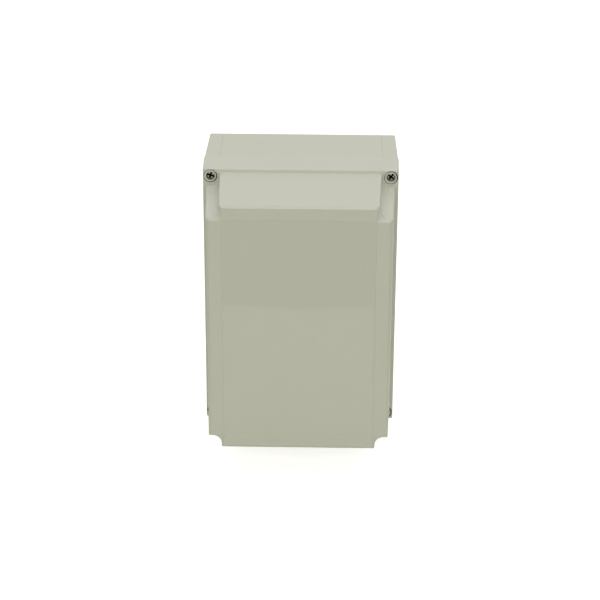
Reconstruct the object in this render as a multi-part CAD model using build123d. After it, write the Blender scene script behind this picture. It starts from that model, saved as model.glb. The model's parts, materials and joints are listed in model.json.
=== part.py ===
from build123d import *
import math
import os

# A wall-mounted DC combiner box: two strings in, one output, in a plain closed enclosure.
# X runs to the right, +Y back into the wall and +Z up. The origin is the centre of the face on the wall.
# "depth" is the distance in front of the wall, so y = -depth. All sizes are in millimetres.

# ---- enclosure -------------------------------------------------------------------------------------
COVER_WIDTH = 180.0
COVER_HEIGHT = 255.0
BASE_DEPTH = 68.0
LEDGE_DEPTH = 100.0
TOTAL_DEPTH = 175.0
SEAM_GAP = 0.3
BODY_GAP = 0.3
COVER_CORNER = 1.5
BASE_CORNER = 1.6
BASE_INSET = 0.5
BASE_DRAFT = 0.94
SKIRT_DRAFT = 0.75
LEDGE_WIDTH = 3.2
LEDGE_SLOPE = 0.45
LEDGE_ROOT_CORNER = 0.5
FRONT_DRAFT = 3.5
FRONT_CHAMFER = 2.5
NOTCH_WIDTH = 12.0
NOTCH_HEIGHT = 11.7
NOTCH_ARC = 8.3
NOTCH_FRONT_ARC = 0.4
NOTCH_INNER_ARC = 10.8
NOTCH_EDGE = 0.8
RAISED_EDGE = 1.2
RAISED_FRONT_EDGE = 0.4
SKIRT_EDGE = 0.9
WALL = 3.0
FLOOR = 3.4
PANEL_WIDTH = 136.8
PANEL_HEIGHT = 213.4
PANEL_RECESS = 0.4
PANEL_BEVEL = 0.35

CAVITY_WIDTH = 170.0
CAVITY_HEIGHT = 245.0
TONGUE_WALL = 1.4
TONGUE_LENGTH = 2.9
GROOVE_DEPTH = 5.7
GROOVE_WIDTH = 2.6
GROOVE_BAND = 8.0
GASKET_WIDTH = 2.2
GASKET_DEPTH = 2.8
PARTING_LINE_X = 75.4
PARTING_LINE_WIDTH = 0.4
PARTING_LINE_CUT = 0.3

# ---- cover screws ----------------------------------------------------------------------------------
SCREW_X = 82.3
SCREW_Z = 119.7
SCREW_SHANK = 1.95
SCREW_TIP = 57.0
HEAD_RADIUS = 3.8
HEAD_TOP = 97.2
HEAD_HEIGHT = 3.5
CROSS_LENGTH = 6.2
CROSS_WIDTH = 1.9
CROSS_DEPTH = 2.6
SLEEVE_RADIUS = 5.5
SLEEVE_BORE = 2.3
SLEEVE_POCKET = 4.1
SLEEVE_LEAN = {(-1, 1): (-0.3, 0.2), (1, 1): (-0.3, -0.1), (-1, -1): (0.3, 0.0), (1, -1): (-0.3, 0.0)}
TUNNEL_RADIUS = 6.3
TUNNEL_FLOOR = 71.0
INSERT_RADIUS = 2.9
INSERT_BORE = 2.25
INSERT_LENGTH = 11.0
CROSS_TURNS = {(-1, 1): -15, (1, 1): 52, (-1, -1): 64, (1, -1): 25}

# ---- mounting plate, wall holes and rails ----------------------------------------------------------
WALL_HOLE_X = 65.0
WALL_HOLE_Z = 103.0
WALL_HOLE_RADIUS = 2.6
WALL_BOSS_RADIUS = 5.5
WALL_BOSS_TOP = 5.0
PLATE_WIDTH = 150.0
PLATE_HEIGHT = 216.0
PLATE_BACK = 11.4
PLATE_THICKNESS = 1.5
PLATE_FRONT = PLATE_BACK + PLATE_THICKNESS
PLATE_NOTCH_X = 57.0
PLATE_NOTCH_Z = 95.0
PLATE_SCREW_X = 69.0
PLATE_SCREW_Z = 90.0
RAIL_LENGTH = 144.0
RAIL_HEIGHT = 35.0
RAIL_DEPTH = 7.5
RAIL_THICKNESS = 1.0
RAIL_FRONT = PLATE_FRONT + RAIL_DEPTH
RAIL_SCREW_X = 50.0
UPPER_ROW = 67.0
LOWER_ROW = -49.0

# ---- modular devices -------------------------------------------------------------------------------
MODULE_PITCH = 17.9
MODULE_WIDTH = 17.7
ROW_START = -62.65
DEVICE_BACK = 15.0
DEVICE_SEAT = 20.5
SHOULDER = 58.0
NOSE = 78.0
HALF_HEIGHT = 40.5
NOSE_HALF = 22.0
WIRE_DEPTH = 38.0
WIRE_HOLE_RADIUS = 3.4
WIRE_HOLE_END = 30.0
WIRE_RADIUS = 2.2
TERMINAL_OFFSET = 34.5
TERMINAL_HOLE = 3.2
TERMINAL_SCREW = 2.8
TERMINAL_SCREW_FLOOR = 44.0
TERMINAL_SCREW_TOP = 50.0

SLOT_HALF = 6.4
SLOT_FLOOR = 42.5
SLOT_LOW = -24.5
SLOT_HIGH = 27.5
CARRIER_HALF = 6.1
CARRIER_BACK = 58.3
PIVOT_DEPTH = 66.0
PIVOT_DROP = -19.0
PIVOT_RADIUS = 1.9
FUSE_DEPTH = 50.0
FUSE_RADIUS = 5.15
FUSE_BODY_RADIUS = 4.85
FUSE_HALF = 19.0
FUSE_CAP = 9.5

TOGGLE_DEPTH = 68.0
TOGGLE_DRUM = 7.0
TOGGLE_LEVER = 20.5
TOGGLE_ANGLE = 35.0
TOGGLE_WINDOW = 11.5

SPD_SEAT = 44.0
SPD_HALF = 24.5
EARTH_X = (32.0, 45.0)
EARTH_WIDTH = 11.8
STOP_WIDTH = 7.4

# ---- glands ----------------------------------------------------------------------------------------
# each size: thread radius, hexagon across flats, cable bore radius
STRING_GLAND = (8.0, 22.0, 3.1)
OUTPUT_GLAND = (10.0, 27.0, 4.5)
FRONT_GLANDS = 48.0
BACK_GLANDS = 20.0
# each gland: x, depth, size
GLANDS = [
    (-54.0, FRONT_GLANDS, STRING_GLAND),
    (-18.0, FRONT_GLANDS, STRING_GLAND),
    (18.0, FRONT_GLANDS, STRING_GLAND),
    (54.0, FRONT_GLANDS, STRING_GLAND),
    (-36.0, BACK_GLANDS, OUTPUT_GLAND),
    (0.0, BACK_GLANDS, OUTPUT_GLAND),
    (36.0, BACK_GLANDS, STRING_GLAND),
]
WALL_INNER_Z = -CAVITY_HEIGHT / 2
SPOT_FACE_Z = -126.0
GLAND_WASHER = 1.5
GLAND_HEX = 5.0
GLAND_CLAWS = 8.5
GLAND_INSIDE = 6.5
GLAND_NUT = 17.0
GLAND_NUT_HEX = 8.0
SEAL_LENGTH = 12.0
LOCKNUT_HEIGHT = 5.0

ON_BASE = (Align.CENTER, Align.CENTER, Align.MIN)
CORNERS = ((-1, 1), (1, 1), (-1, -1), (1, -1))


# ---- small shape helpers ---------------------------------------------------------------------------
def front_plane(depth):
    """Plane parallel to the wall at this depth; its own x and y run along X and Z."""
    return Plane(origin=(0, -depth, 0), x_dir=(1, 0, 0), z_dir=(0, -1, 0))


def side_plane(x, z):
    """Plane across X at this place; its own x runs forward, its own y runs up."""
    return Plane(origin=(x, 0, z), x_dir=(0, -1, 0), z_dir=(-1, 0, 0))


def block(x, depth, z):
    """Box between low and high limits in X, depth and Z."""
    centre = Pos(sum(x) / 2, -sum(depth) / 2, sum(z) / 2)
    return centre * Box(x[1] - x[0], depth[1] - depth[0], z[1] - z[0])


def rod_out(x, z, radius, depth):
    """Cylinder that stands out from the wall, between two depths."""
    return front_plane(depth[0]) * Pos(x, z, 0) * Cylinder(radius, depth[1] - depth[0], align=ON_BASE)


def rod_up(x, depth, radius, z):
    """Vertical cylinder between two heights."""
    return Pos(x, -depth, z[0]) * Cylinder(radius, z[1] - z[0], align=ON_BASE)


def rod_across(x, depth, z, radius):
    """Cylinder along X between two limits."""
    return Pos(x[0], -depth, z) * Rot(0, 90, 0) * Cylinder(radius, x[1] - x[0], align=ON_BASE)


def hexagon_up(x, depth, across_flats, z):
    """Vertical hexagonal prism between two heights."""
    sketch = Plane(origin=(x, -depth, z[0])) * RegularPolygon(across_flats / 2, 6, major_radius=False)
    return extrude(sketch, amount=z[1] - z[0])


def profile(points, x, width, z=0.0):
    """Outline of (depth, height) points, as thick as width and centred on x."""
    sketch = side_plane(x, z) * Polygon(*points, align=None)
    return extrude(sketch, amount=width / 2, both=True)


def plate_outline(width, height, radius, depth):
    """Rounded rectangle parallel to the wall."""
    return front_plane(depth) * RectangleRounded(width, height, radius)


def notched_outline(width, height, depth, arc=NOTCH_ARC, edge=NOTCH_EDGE):
    """Rectangle with its four corners cut away by concave rounded notches."""
    w, h = width / 2, height / 2
    x, z = w - NOTCH_WIDTH, h - NOTCH_HEIGHT
    points = [(w, -z), (w, z), (x, z), (x, h), (-x, h), (-x, z),
              (-w, z), (-w, -z), (-x, -z), (-x, -h), (x, -h), (x, -z)]
    sketch = Polygon(*points, align=None)
    inner = [v for v in sketch.vertices() if abs(v.X) < w - 1 and abs(v.Y) < h - 1]
    outer = [v for v in sketch.vertices() if abs(v.X) > w - 1 or abs(v.Y) > h - 1]
    sketch = fillet(inner, arc)
    outer = [v for v in sketch.vertices() if any((v.center() - o.center()).length < 0.01 for o in outer)]
    return front_plane(depth) * fillet(outer, edge)


def notched_prism(width, height, depth, arc=NOTCH_ARC):
    """Straight prism of the notched outline between two depths."""
    return extrude(notched_outline(width, height, depth[0], arc), amount=depth[1] - depth[0])


def tube(points, radius):
    """Round lead along straight runs joined by tangent arcs, each as large as its runs allow."""
    places = [Vector(x, -depth, z) for x, depth, z in points]
    runs = [b - a for a, b in zip(places, places[1:])]
    if len(places) == 2:
        path = Line(places[0], places[1])
    else:
        radii = []
        for before, after in zip(runs, runs[1:]):
            half_turn = math.radians(before.get_angle(after) / 2)
            radii.append(0.45 * min(before.length, after.length) / math.tan(half_turn))
        path = FilletPolyline(*places, radius=radii)
    start = Plane(origin=places[0], z_dir=runs[0])
    return sweep(start * Circle(radius), path=path)


def group(shapes):
    """One node made of several separate solids."""
    return Compound(children=[solid for shape in shapes for solid in shape.solids()])


def module_x(index):
    """Centre of a module's place in its row."""
    return ROW_START + MODULE_PITCH * (index + 0.5)


# ---- enclosure -------------------------------------------------------------------------------------
def enclosure_base():
    seam_width = COVER_WIDTH - 2 * BASE_INSET
    seam_height = COVER_HEIGHT - 2 * BASE_INSET
    back = plate_outline(seam_width - 2 * BASE_DRAFT, seam_height - 2 * BASE_DRAFT, BASE_CORNER, 0)
    seam = plate_outline(seam_width, seam_height, COVER_CORNER, BASE_DEPTH)
    outside = loft([back, seam], ruled=True)
    shell = outside - notched_prism(CAVITY_WIDTH, CAVITY_HEIGHT, (FLOOR, BASE_DEPTH + 1))
    tongue = notched_prism(CAVITY_WIDTH + 2 * TONGUE_WALL, CAVITY_HEIGHT + 2 * TONGUE_WALL,
                           (BASE_DEPTH, BASE_DEPTH + TONGUE_LENGTH))
    tongue -= notched_prism(CAVITY_WIDTH, CAVITY_HEIGHT, (BASE_DEPTH - 1, BASE_DEPTH + TONGUE_LENGTH + 1))
    shell += tongue
    for side, end in CORNERS:
        shell -= rod_out(side * SCREW_X, end * SCREW_Z, INSERT_RADIUS + 0.02,
                         (BASE_DEPTH - INSERT_LENGTH - 1, BASE_DEPTH + 1))
        shell -= rod_out(side * SCREW_X, end * SCREW_Z, INSERT_BORE + 0.1, (SCREW_TIP - 6, BASE_DEPTH))
        shell += rod_out(side * PLATE_SCREW_X, end * PLATE_SCREW_Z, 4.5, (FLOOR - 1, PLATE_BACK))
        shell -= rod_out(side * PLATE_SCREW_X, end * PLATE_SCREW_Z, 1.7, (FLOOR + 1, PLATE_BACK + 1))
        shell += rod_out(side * WALL_HOLE_X, end * WALL_HOLE_Z, WALL_BOSS_RADIUS, (FLOOR - 1, WALL_BOSS_TOP))
        shell -= rod_out(side * WALL_HOLE_X, end * WALL_HOLE_Z, WALL_HOLE_RADIUS, (-1, WALL_BOSS_TOP + 1))
    return cut_gland_holes(shell - parting_lines(outside))


def parting_lines(outside):
    """Fine witness lines of the mould's slides on the top and bottom end walls."""
    strips = []
    for side, end in CORNERS:
        x = side * PARTING_LINE_X
        back_edge = COVER_HEIGHT / 2 - BASE_INSET - BASE_DRAFT
        z_limits = sorted((end * (back_edge - PARTING_LINE_CUT), end * COVER_HEIGHT))
        x_limits = (x - PARTING_LINE_WIDTH / 2, x + PARTING_LINE_WIDTH / 2)
        strip = block(x_limits, (-1, BASE_DEPTH - 2), z_limits)
        tilt = -end * math.degrees(math.atan2(BASE_DRAFT, BASE_DEPTH))
        pivot = Pos(0, 0, end * back_edge)
        strips.append(pivot * Rot(tilt, 0, 0) * pivot.inverse() * strip)
    return strips


def cut_gland_holes(shell):
    """Clearance holes and flat seats for the glands in the bottom wall."""
    for x, depth, (thread, flats, _) in GLANDS:
        shell -= rod_up(x, depth, thread + 0.15, (SPOT_FACE_Z - 3, WALL_INNER_Z + 1))
        shell -= rod_up(x, depth, flats / 2 + 2.5, (SPOT_FACE_Z - 3, SPOT_FACE_Z))
    return shell


LEDGE_OUTER_WIDTH = COVER_WIDTH - 2 * SKIRT_DRAFT
LEDGE_OUTER_HEIGHT = COVER_HEIGHT - 2 * SKIRT_DRAFT
ROOT_WIDTH = LEDGE_OUTER_WIDTH - 2 * LEDGE_WIDTH
ROOT_HEIGHT = LEDGE_OUTER_HEIGHT - 2 * LEDGE_WIDTH


def raised_outline(depth, inset, arc, edge=NOTCH_EDGE):
    """Outline of the raised front at this depth, drawn in by its draft and by inset."""
    shrink = inset + FRONT_DRAFT * (depth - LEDGE_DEPTH) / (TOTAL_DEPTH - LEDGE_DEPTH)
    return notched_outline(ROOT_WIDTH - 2 * shrink, ROOT_HEIGHT - 2 * shrink, depth, arc, edge)


def raised_front():
    """Solid raised front whose chamfer runs from rounded notches to square ones."""
    rim = TOTAL_DEPTH - FRONT_CHAMFER
    root = raised_outline(LEDGE_DEPTH - 5, 0, NOTCH_ARC, RAISED_EDGE)
    shoulder = raised_outline(rim, 0, NOTCH_ARC, RAISED_EDGE)
    front = raised_outline(TOTAL_DEPTH, FRONT_CHAMFER, NOTCH_FRONT_ARC, RAISED_FRONT_EDGE)
    return loft([root, shoulder], ruled=True) + loft([shoulder, front], ruled=True)


def front_cavity():
    """Space inside the raised front, one wall thickness smaller all round."""
    back = raised_outline(LEDGE_DEPTH - WALL, WALL, NOTCH_INNER_ARC)
    front = raised_outline(TOTAL_DEPTH - WALL, WALL, NOTCH_INNER_ARC)
    return loft([back, front], ruled=True)


def panel_recess():
    """Shallow panel area of the front, with a bevelled edge."""
    floor = plate_outline(PANEL_WIDTH, PANEL_HEIGHT, 1.0, TOTAL_DEPTH - PANEL_RECESS)
    rim = plate_outline(PANEL_WIDTH + 2 * PANEL_BEVEL, PANEL_HEIGHT + 2 * PANEL_BEVEL, 1.0 + PANEL_BEVEL,
                        TOTAL_DEPTH)
    return loft([floor, rim], ruled=True) + extrude(rim, amount=1)


def enclosure_cover():
    """Cover: drafted skirt, sloping ledge, notched raised front and a well for each of its screws."""
    seam = BASE_DEPTH + SEAM_GAP
    skirt_back = plate_outline(COVER_WIDTH, COVER_HEIGHT, COVER_CORNER, seam)
    edge_depth = LEDGE_DEPTH - LEDGE_SLOPE
    skirt_front = plate_outline(LEDGE_OUTER_WIDTH, LEDGE_OUTER_HEIGHT, COVER_CORNER, edge_depth)
    ledge_root = plate_outline(ROOT_WIDTH, ROOT_HEIGHT, LEDGE_ROOT_CORNER, LEDGE_DEPTH)
    skirt = loft([skirt_back, skirt_front], ruled=True) + loft([skirt_front, ledge_root], ruled=True)
    rim = [e for e in skirt.edges() if max(abs((e @ t).Y + edge_depth) for t in (0, 0.5, 1)) < 0.01]
    skirt = fillet(rim, SKIRT_EDGE)
    shell = skirt + raised_front() - front_cavity()
    throat = (seam - 1, LEDGE_DEPTH - WALL + 0.5)
    shell -= notched_prism(ROOT_WIDTH - 2 * WALL, ROOT_HEIGHT - 2 * WALL, throat, NOTCH_INNER_ARC)
    band_front = seam + GROOVE_BAND
    shell -= notched_prism(CAVITY_WIDTH + 3.2, CAVITY_HEIGHT + 3.2, (band_front, LEDGE_DEPTH - WALL))
    shell -= gasket_ring(GROOVE_WIDTH, (seam - 1, seam + GROOVE_DEPTH))
    for side, end in CORNERS:
        shell -= rod_out(side * SCREW_X, end * SCREW_Z, TUNNEL_RADIUS, (TUNNEL_FLOOR, LEDGE_DEPTH + 1))
        shell -= rod_out(side * SCREW_X, end * SCREW_Z, SLEEVE_BORE + 0.2, (seam - 1, TUNNEL_FLOOR + 1))
    return shell - panel_recess()


def gasket_ring(width, depth):
    """Ring of this width, centred on the base's tongue."""
    middle = TONGUE_WALL / 2
    outer = 2 * (middle + width / 2)
    inner = 2 * (middle - width / 2)
    ring = notched_prism(CAVITY_WIDTH + outer, CAVITY_HEIGHT + outer, depth)
    return ring - notched_prism(CAVITY_WIDTH + inner, CAVITY_HEIGHT + inner, (depth[0] - 1, depth[1] + 1))


def cover_gasket():
    front = BASE_DEPTH + SEAM_GAP + GROOVE_DEPTH
    return gasket_ring(GASKET_WIDTH, (front - GASKET_DEPTH, front))


def screw_sleeves():
    """Flanged tube in each screw well. The tube stands a little off its bore."""
    sleeves = []
    for side, end in CORNERS:
        x, z = side * SCREW_X, end * SCREW_Z
        lean_x, lean_z = SLEEVE_LEAN[side, end]
        sleeve = rod_out(x + lean_x, z + lean_z, SLEEVE_RADIUS, (TUNNEL_FLOOR, LEDGE_DEPTH - 0.2))
        sleeve += rod_out(x, z, TUNNEL_RADIUS - 0.05, (TUNNEL_FLOOR, TUNNEL_FLOOR + 3))
        sleeve -= rod_out(x, z, SLEEVE_BORE, (TUNNEL_FLOOR - 1, LEDGE_DEPTH))
        sleeve -= rod_out(x, z, SLEEVE_POCKET, (HEAD_TOP - HEAD_HEIGHT - BODY_GAP, LEDGE_DEPTH))
        sleeves.append(sleeve)
    return group(sleeves)


def threaded_inserts():
    inserts = []
    for side, end in CORNERS:
        place = (side * SCREW_X, end * SCREW_Z)
        depth = (BASE_DEPTH - INSERT_LENGTH - 0.5, BASE_DEPTH - 0.5)
        insert = rod_out(*place, INSERT_RADIUS, depth)
        insert -= rod_out(*place, INSERT_BORE, (depth[0] - 1, depth[1] + 1))
        inserts.append(insert)
    return group(inserts)


def cross_recess(x, z, top, length, width, depth, turn):
    """Cross-shaped driver recess that tapers in towards its floor."""
    recess = None
    for quarter in (0, 90):
        place = front_plane(top + 0.5) * Pos(x, z, 0) * Rot(0, 0, turn + quarter)
        arm = place * Box(length, width, 2 * depth)
        recess = arm if recess is None else recess + arm
    core = front_plane(top - depth) * Pos(x, z, 0) * Cylinder(length / 2, depth + 1, align=ON_BASE)
    return recess & core


def cover_screw(side, end):
    x, z = side * SCREW_X, end * SCREW_Z
    screw = rod_out(x, z, SCREW_SHANK, (SCREW_TIP, HEAD_TOP - HEAD_HEIGHT + 0.5))
    head = rod_out(x, z, HEAD_RADIUS, (HEAD_TOP - HEAD_HEIGHT, HEAD_TOP))
    head = fillet(head.edges().filter_by(GeomType.CIRCLE).sort_by(Axis.Y)[0], 1.0)
    recess = cross_recess(x, z, HEAD_TOP, CROSS_LENGTH, CROSS_WIDTH, CROSS_DEPTH, CROSS_TURNS[(side, end)])
    return screw + head - recess


# ---- plate and rails -------------------------------------------------------------------------------
def mounting_plate():
    plate = block((-PLATE_WIDTH / 2, PLATE_WIDTH / 2), (PLATE_BACK, PLATE_FRONT),
                  (-PLATE_HEIGHT / 2, PLATE_HEIGHT / 2))
    for side, end in CORNERS:
        x_limits = sorted((side * PLATE_NOTCH_X, side * PLATE_WIDTH))
        z_limits = sorted((end * PLATE_NOTCH_Z, end * PLATE_HEIGHT))
        plate -= block(x_limits, (PLATE_BACK - 1, PLATE_FRONT + 1), z_limits)
        plate -= rod_out(side * PLATE_SCREW_X, end * PLATE_SCREW_Z, 1.8, (PLATE_BACK - 1, PLATE_FRONT + 1))
    for row in (UPPER_ROW, LOWER_ROW):
        for side in (-1, 1):
            plate -= rod_out(side * RAIL_SCREW_X, row, 2.1, (PLATE_BACK - 1, PLATE_FRONT + 1))
    return plate


def pan_screw(x, z, seat, shank, length, head, head_height, slot):
    """Pan head screw with a straight slot, seated at this depth and pointing at the wall."""
    screw = rod_out(x, z, shank, (seat - length, seat))
    crown = rod_out(x, z, head, (seat, seat + head_height))
    crown = fillet(crown.edges().filter_by(GeomType.CIRCLE).sort_by(Axis.Y)[0], head_height * 0.4)
    groove = block((x - head, x + head), (seat + head_height - slot, seat + head_height + 1),
                   (z - 0.5, z + 0.5))
    return screw + crown - groove


def plate_screws():
    return group([pan_screw(side * PLATE_SCREW_X, end * PLATE_SCREW_Z, PLATE_FRONT, 1.6, 8.0, 3.2, 2.2, 1.1)
                  for side, end in CORNERS])


def din_rail(row):
    half = RAIL_HEIGHT / 2
    web = half - 4.0
    back, front, sheet = PLATE_FRONT, RAIL_FRONT, RAIL_THICKNESS
    points = [
        (back, -web), (front - sheet, -web), (front - sheet, -half), (front, -half), (front, sheet - web),
        (back + sheet, sheet - web), (back + sheet, web - sheet), (front, web - sheet), (front, half),
        (front - sheet, half), (front - sheet, web), (back, web),
    ]
    rail = profile(points, 0, RAIL_LENGTH, row)
    for x in (-50.0, -25.0, 0.0, 25.0, 50.0):
        slot = front_plane(back - 1) * Pos(x, row) * SlotOverall(15.0, 4.8)
        rail -= extrude(slot, amount=sheet + 2)
    return rail


def rail_screws():
    return group([pan_screw(side * RAIL_SCREW_X, row, PLATE_FRONT + RAIL_THICKNESS, 2.0, 7.0, 4.2, 2.6, 1.2)
                  for row in (UPPER_ROW, LOWER_ROW) for side in (-1, 1)])


def rail_pocket(x, width, row):
    """Space for the rail at a device's back, with a hook left behind each of the rail's lips."""
    reach = width / 2 + 1
    pocket = block((x - reach, x + reach), (DEVICE_BACK - 1, DEVICE_SEAT), (row - 18.0, row + 18.0))
    for end in (-1, 1):
        z_limits = sorted((row + end * 15.5, row + end * 18.0))
        hook = (DEVICE_BACK + 1.6, RAIL_FRONT - RAIL_THICKNESS - 0.3)
        pocket -= block((x - width / 2, x + width / 2), hook, z_limits)
    return pocket


def rail_stop(x, row):
    points = [(DEVICE_BACK, -19.0), (34.0, -19.0), (44.0, -14.0),
              (44.0, 14.0), (34.0, 19.0), (DEVICE_BACK, 19.0)]
    stop = profile(points, x, STOP_WIDTH, row) - rail_pocket(x, STOP_WIDTH, row)
    return stop - rod_out(x, row, 2.4, (38.0, 46.0)) + pan_screw(x, row, 39.0, 1.5, 2.0, 2.1, 2.4, 1.0)


def rail_stops():
    ends = (ROW_START - STOP_WIDTH / 2 - 0.3, module_x(6) + MODULE_PITCH / 2 + STOP_WIDTH / 2 + 0.1)
    earth_end = EARTH_X[1] + EARTH_WIDTH / 2 + STOP_WIDTH / 2 + 0.4
    return group([rail_stop(ends[0], UPPER_ROW), rail_stop(ends[1], UPPER_ROW),
                  rail_stop(ends[0], LOWER_ROW), rail_stop(earth_end, LOWER_ROW)])


# ---- modular devices -------------------------------------------------------------------------------
def device_body(x, width, row, front=NOSE):
    """Modular device housing: shoulders with terminals above and below a raised nose."""
    points = [
        (DEVICE_BACK, -HALF_HEIGHT), (SHOULDER - 5, -HALF_HEIGHT), (SHOULDER, -HALF_HEIGHT + 4),
        (SHOULDER, -NOSE_HALF - 1.5), (front, -NOSE_HALF), (front, NOSE_HALF), (SHOULDER, NOSE_HALF + 1.5),
        (SHOULDER, HALF_HEIGHT - 4), (SHOULDER - 5, HALF_HEIGHT), (DEVICE_BACK, HALF_HEIGHT),
    ]
    return profile(points, x, width, row) - rail_pocket(x, width, row)


def cut_terminals(body, centres, row, offset=TERMINAL_OFFSET, wire_end=WIRE_HOLE_END, face=HALF_HEIGHT):
    """Wire holes in the ends and screw holes in the shoulders, for each pole."""
    for x in centres:
        for end in (-1, 1):
            z_limits = sorted((row + end * wire_end, row + end * (face + 1)))
            body -= rod_up(x, WIRE_DEPTH, WIRE_HOLE_RADIUS, z_limits)
            body -= rod_out(x, row + end * offset, TERMINAL_HOLE, (TERMINAL_SCREW_FLOOR, SHOULDER + 1))
    return body


def terminal_screws(centres, row, offset=TERMINAL_OFFSET):
    screws = []
    for x in centres:
        for end in (-1, 1):
            z = row + end * offset
            screw = rod_out(x, z, TERMINAL_SCREW, (TERMINAL_SCREW_FLOOR, TERMINAL_SCREW_TOP))
            turn = 20 + 37 * (len(screws) % 4)
            screws.append(screw - cross_recess(x, z, TERMINAL_SCREW_TOP, 4.4, 1.0, 1.8, turn))
    return group(screws)


def fuse_base(index):
    x = module_x(index)
    body = device_body(x, MODULE_WIDTH, LOWER_ROW, NOSE - 2)
    body -= block((x - SLOT_HALF, x + SLOT_HALF), (SLOT_FLOOR, NOSE + 1),
                  (LOWER_ROW + SLOT_LOW, LOWER_ROW + SLOT_HIGH))
    pin_hole = PIVOT_RADIUS + 0.1
    body -= rod_across((x - MODULE_WIDTH, x + MODULE_WIDTH), PIVOT_DEPTH, LOWER_ROW + PIVOT_DROP, pin_hole)
    return cut_terminals(body, [x], LOWER_ROW)


def fuse_clips():
    clips = []
    for index in range(4):
        x = module_x(index)
        for end in (-1, 1):
            z = sorted((LOWER_ROW + end * 9.5, LOWER_ROW + end * 17.0))
            clip = block((x - 6.0, x + 6.0), (SLOT_FLOOR, SLOT_FLOOR + 0.8), z)
            for side in (-1, 1):
                clip += block(sorted((x + side * 5.5, x + side * 6.0)), (SLOT_FLOOR, 55.0), z)
            clips.append(clip)
    return group(clips)


def fuse_carrier(index):
    """Hinged carrier: a finger-grip nose with two lugs that hold the fuse by its ends."""
    x = module_x(index)
    points = [
        (CARRIER_BACK, -22.5), (NOSE - 5, -22.5), (NOSE, -19.0), (NOSE, 12.0), (NOSE + 3, 19.0),
        (NOSE + 3, 23.0), (NOSE - 2, 23.0), (NOSE - 5, 22.5), (CARRIER_BACK, 22.5),
    ]
    carrier = profile(points, x, 2 * CARRIER_HALF, LOWER_ROW)
    carrier += block((x - 4, x + 4), (FUSE_DEPTH + 3.6, CARRIER_BACK + 1), (LOWER_ROW - 20, LOWER_ROW + 20))
    for end in (-1, 1):
        z = sorted((LOWER_ROW + end * (FUSE_HALF + 0.05), LOWER_ROW + end * 22.3))
        carrier += block((x - 4.8, x + 4.8), (FUSE_DEPTH - 5, CARRIER_BACK + 1), z)
    cradle = (LOWER_ROW - FUSE_HALF - 0.05, LOWER_ROW + FUSE_HALF + 0.05)
    carrier -= rod_up(x, FUSE_DEPTH, FUSE_RADIUS + 0.05, cradle)
    carrier += rod_across((x - 8.4, x + 8.4), PIVOT_DEPTH, LOWER_ROW + PIVOT_DROP, PIVOT_RADIUS)
    for z in (-14.0, -10.0, -6.0, -2.0, 2.0, 6.0):
        groove = (LOWER_ROW + z - 0.6, LOWER_ROW + z + 0.6)
        carrier -= block((x - 4.2, x + 4.2), (NOSE - 0.7, NOSE + 1), groove)
    return carrier


def fuse_link(index):
    x = module_x(index)
    link = rod_up(x, FUSE_DEPTH, FUSE_BODY_RADIUS, (LOWER_ROW - FUSE_HALF + 1, LOWER_ROW + FUSE_HALF - 1))
    for end in (-1, 1):
        z = sorted((LOWER_ROW + end * (FUSE_HALF - FUSE_CAP), LOWER_ROW + end * FUSE_HALF))
        cap = rod_up(x, FUSE_DEPTH, FUSE_RADIUS, z)
        rim = cap.edges().filter_by(GeomType.CIRCLE).sort_by(Axis.Z)[-1 if end > 0 else 0]
        link += fillet(rim, 0.8)
    return link


BREAKER_POLES = [module_x(index) for index in range(4)]
BREAKER_X = sum(BREAKER_POLES) / 4
BREAKER_WIDTH = 4 * MODULE_PITCH - 0.2
SPD_POLES = [module_x(index) for index in (4, 5, 6)]
SPD_WIDTH = 3 * MODULE_PITCH - 0.2


def breaker_body():
    body = device_body(BREAKER_X, BREAKER_WIDTH, UPPER_ROW)
    window = BREAKER_WIDTH / 2 - 6
    body -= block((BREAKER_X - window, BREAKER_X + window), (TOGGLE_DEPTH - 8, NOSE + 1),
                  (UPPER_ROW - TOGGLE_WINDOW, UPPER_ROW + TOGGLE_WINDOW))
    body -= rod_across((BREAKER_X - window - 2, BREAKER_X + window + 2), TOGGLE_DEPTH, UPPER_ROW, 2.1)
    for joint in BREAKER_POLES[1:]:
        seam = (joint - MODULE_PITCH / 2 - 0.3, joint - MODULE_PITCH / 2 + 0.3)
        body -= block(seam, (NOSE - 0.8, NOSE + 1), (UPPER_ROW - 30, UPPER_ROW + 30))
        for end in (-1, 1):
            z_limits = sorted((UPPER_ROW + end * 24, UPPER_ROW + end * 45))
            body -= block(seam, (SHOULDER - 0.8, SHOULDER + 1), z_limits)
    return cut_terminals(body, BREAKER_POLES, UPPER_ROW)


def breaker_toggle():
    """Four tied levers on one drum, built pointing straight out, then turned up to ON."""
    reach = BREAKER_WIDTH / 2 - 6
    tip = TOGGLE_DEPTH + TOGGLE_LEVER
    drum = (BREAKER_X - reach + 0.5, BREAKER_X + reach - 0.5)
    toggle = rod_across(drum, TOGGLE_DEPTH, UPPER_ROW, TOGGLE_DRUM)
    toggle += rod_across((BREAKER_X - reach - 1.5, BREAKER_X + reach + 1.5), TOGGLE_DEPTH, UPPER_ROW, 2.0)
    for x in BREAKER_POLES:
        toggle += block((x - 2.4, x + 2.4), (TOGGLE_DEPTH, tip), (UPPER_ROW - 2.0, UPPER_ROW + 2.0))
    toggle += block((BREAKER_POLES[0] - 4.5, BREAKER_POLES[-1] + 4.5), (tip - 5, tip),
                    (UPPER_ROW - 2.6, UPPER_ROW + 2.6))
    pivot = Pos(0, -TOGGLE_DEPTH, UPPER_ROW)
    return pivot * Rot(-TOGGLE_ANGLE, 0, 0) * pivot.inverse() * toggle


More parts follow.
